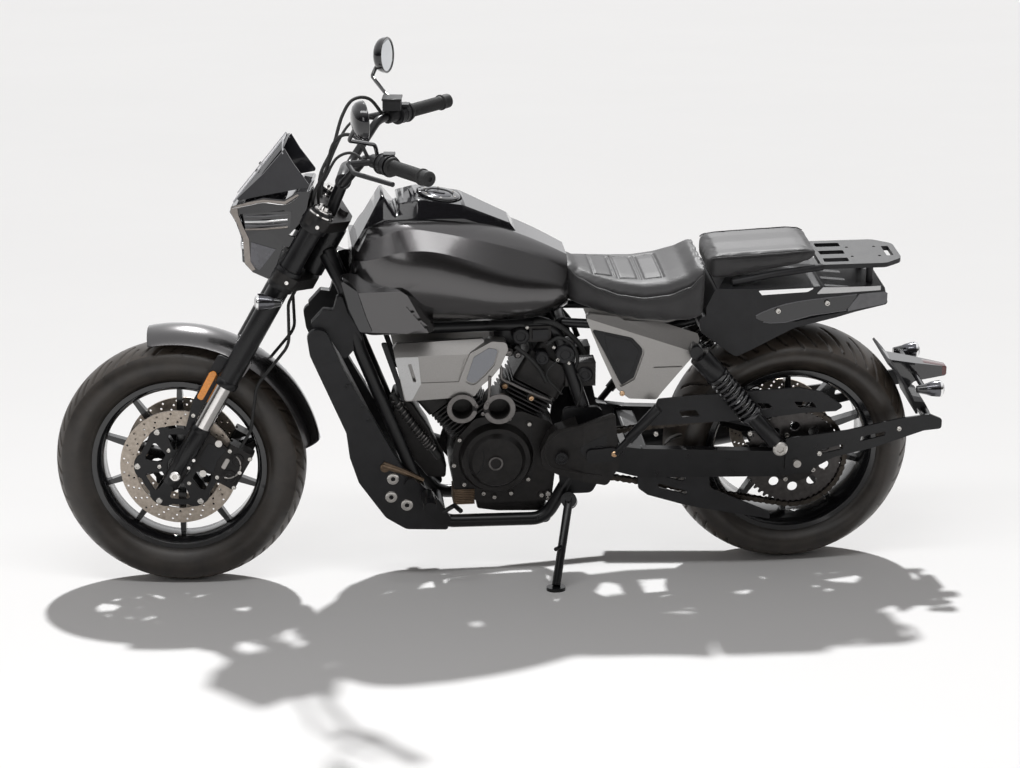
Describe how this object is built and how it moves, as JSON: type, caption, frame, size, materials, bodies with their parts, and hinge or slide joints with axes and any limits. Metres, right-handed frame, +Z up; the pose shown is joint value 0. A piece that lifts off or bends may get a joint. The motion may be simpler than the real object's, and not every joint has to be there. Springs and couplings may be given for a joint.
{
  "type": "cruiser motorcycle",
  "caption": "Cruiser motorcycle on its side stand, with steering, spinning wheels, folding stand, hinged fuel cap, rider and passenger seats and a luggage carrier.",
  "frame": {"origin": "centre of the whole machine's box, on the ground it stands on", "axes": "+X towards the front wheel, +Y to the rider's left, +Z up; the machine leans 8.5 degrees to the left on its side stand"},
  "size_m": [2.2994, 0.8964, 1.36],
  "materials": {
    "graphite_paint": "satin metallic",
    "gloss_black": "gloss",
    "matte_black_plastic": "moulded matte",
    "black_steel": "satin black powder coat",
    "black_casting": "black painted casting",
    "bright_steel": "ground",
    "silver_plastic": "satin silver",
    "seat_leather": "grained",
    "tyre_rubber": "new",
    "grip_rubber": "ribbed",
    "clear_lens": "clear",
    "smoke_screen": "smoked",
    "chain_steel": "oiled",
    "mirror_shell": "gloss",
    "red_lens": "smoked"
  },
  "bodies": {
    "frame": {"main_frame": "black_steel", "side_stand_bracket": "black_steel", "engine_block": "black_casting", "front_cylinder": "black_casting", "rear_cylinder": "black_casting", "engine_covers": "black_casting", "airbox_covers": "silver_plastic", "radiator": "black_casting", "radiator_cowl": "matte_black_plastic", "fuel_tank": "graphite_paint", "tank_top_cover": "gloss_black", "side_scoops": "graphite_paint", "scoop_frames": "gloss_black", "side_covers": "silver_plastic", "rider_seat": "seat_leather", "pillion_seat": "seat_leather", "tail_unit": "matte_black_plastic", "luggage_rack": "black_steel", "swingarm": "black_steel", "rear_axle": "bright_steel", "shock_absorbers": "black_steel", "shock_springs": "black_steel", "drive_chain": "chain_steel", "chain_guards": "matte_black_plastic", "lamp_arms": "black_steel", "rear_mudguard": "matte_black_plastic", "rear_lamps": "red_lens", "rear_caliper": "black_casting", "exhaust": "black_steel", "footrests": "black_steel"},
    "steering": {"fork_legs": "black_casting", "fork_yokes": "black_casting", "fork_guards": "matte_black_plastic", "front_axle": "bright_steel", "front_calipers": "black_casting", "brake_hoses": "grip_rubber", "front_fender": "graphite_paint", "handlebar": "black_steel", "hand_grips": "grip_rubber", "hand_controls": "matte_black_plastic", "mirrors": "mirror_shell", "headlight": "gloss_black", "headlight_lens": "clear_lens", "flyscreen": "smoke_screen", "front_indicators": "gloss_black"},
    "front_wheel": {"front_tyre": "tyre_rubber", "front_rim": "gloss_black", "front_discs": "bright_steel"},
    "rear_wheel": {"rear_tyre": "tyre_rubber", "rear_rim": "gloss_black", "rear_sprocket": "chain_steel", "rear_disc": "bright_steel"},
    "side_stand": {"side_stand": "black_steel"},
    "fuel_cap": {"fuel_cap": "gloss_black"}
  },
  "joints": [
    {"name": "steering_turn", "type": "hinge", "parent": "frame", "child": "steering", "pos_m": [0.45946, -0.05459, 0.87737], "axis": [-0.4851, 0.1293, 0.8649], "range_deg": [-21, 39]},
    {"name": "front_wheel_spin", "type": "hinge", "parent": "steering", "child": "front_wheel", "pos_m": [0.83181, -0.1462, 0.31943], "axis": [0.1368, 0.9881, -0.0709], "continuous": true},
    {"name": "rear_wheel_spin", "type": "hinge", "parent": "frame", "child": "rear_wheel", "pos_m": [-0.73363, -0.13818, 0.31804], "axis": [0, 0.989, -0.1478], "continuous": true},
    {"name": "stand_fold", "type": "hinge", "parent": "frame", "child": "side_stand", "pos_m": [-0.1496, -0.01102, 0.20822], "axis": [0.2073, 0.8671, 0.453], "range_deg": [0, 94.6]},
    {"name": "cap_open", "type": "hinge", "parent": "frame", "child": "fuel_cap", "pos_m": [0.21753, -0.03381, 1.01641], "axis": [0, 0.989, -0.1478], "range_deg": [0, 80]}
  ]
}
